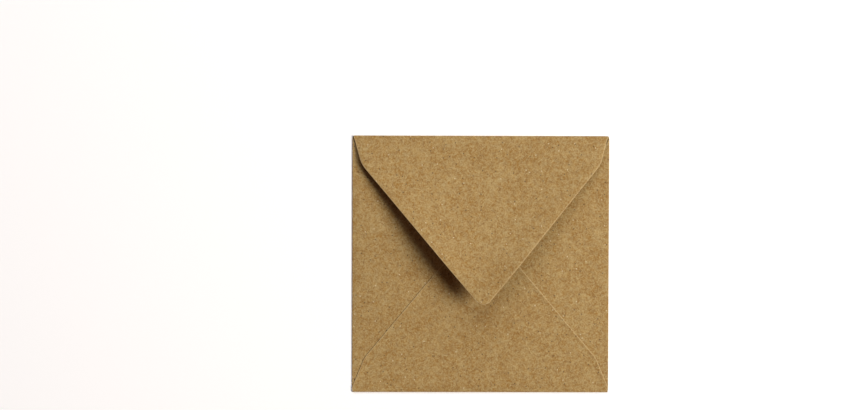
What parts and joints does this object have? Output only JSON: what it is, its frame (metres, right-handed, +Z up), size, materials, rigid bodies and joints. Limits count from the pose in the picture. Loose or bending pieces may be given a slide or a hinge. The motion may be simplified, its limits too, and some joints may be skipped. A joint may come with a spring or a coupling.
{
  "type": "paper envelope",
  "caption": "Square kraft paper greeting-card envelope, with its pointed opening flap standing slightly open over the glued bottom and side flaps.",
  "frame": {"origin": "middle of the address panel's underside, on the surface that the envelope lies on", "axes": "+Z up out of the flap side, +Y towards the opening flap's fold, +X to the right with that fold at the top"},
  "size_m": [0.155, 0.155, 0.0198],
  "materials": {
    "kraft_paper": "matte"
  },
  "bodies": {
    "root": {"envelope": "kraft_paper"}
  },
  "joints": []
}
